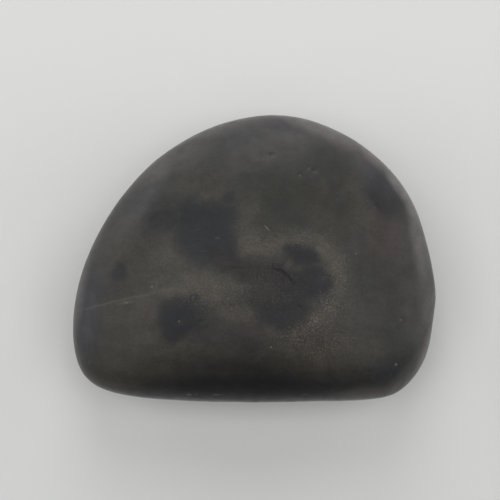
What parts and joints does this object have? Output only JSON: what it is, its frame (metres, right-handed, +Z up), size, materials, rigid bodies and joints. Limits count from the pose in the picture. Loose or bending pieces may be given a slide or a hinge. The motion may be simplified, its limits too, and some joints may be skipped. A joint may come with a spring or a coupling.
{
  "type": "basalt massage stone",
  "caption": "Palm-size D-shaped basalt stone with a smooth pillowed section, heated and used for hot stone massage.",
  "frame": {"origin": "middle of the stone's box, on the surface that the stone lies on", "axes": "+X along the straight side, +Y from the straight side to the crown of the arch, +Z up out of the broad upper face"},
  "size_m": [0.08, 0.0636, 0.029],
  "materials": {
    "basalt": "satin"
  },
  "bodies": {
    "root": {"stone": "basalt"}
  },
  "joints": []
}
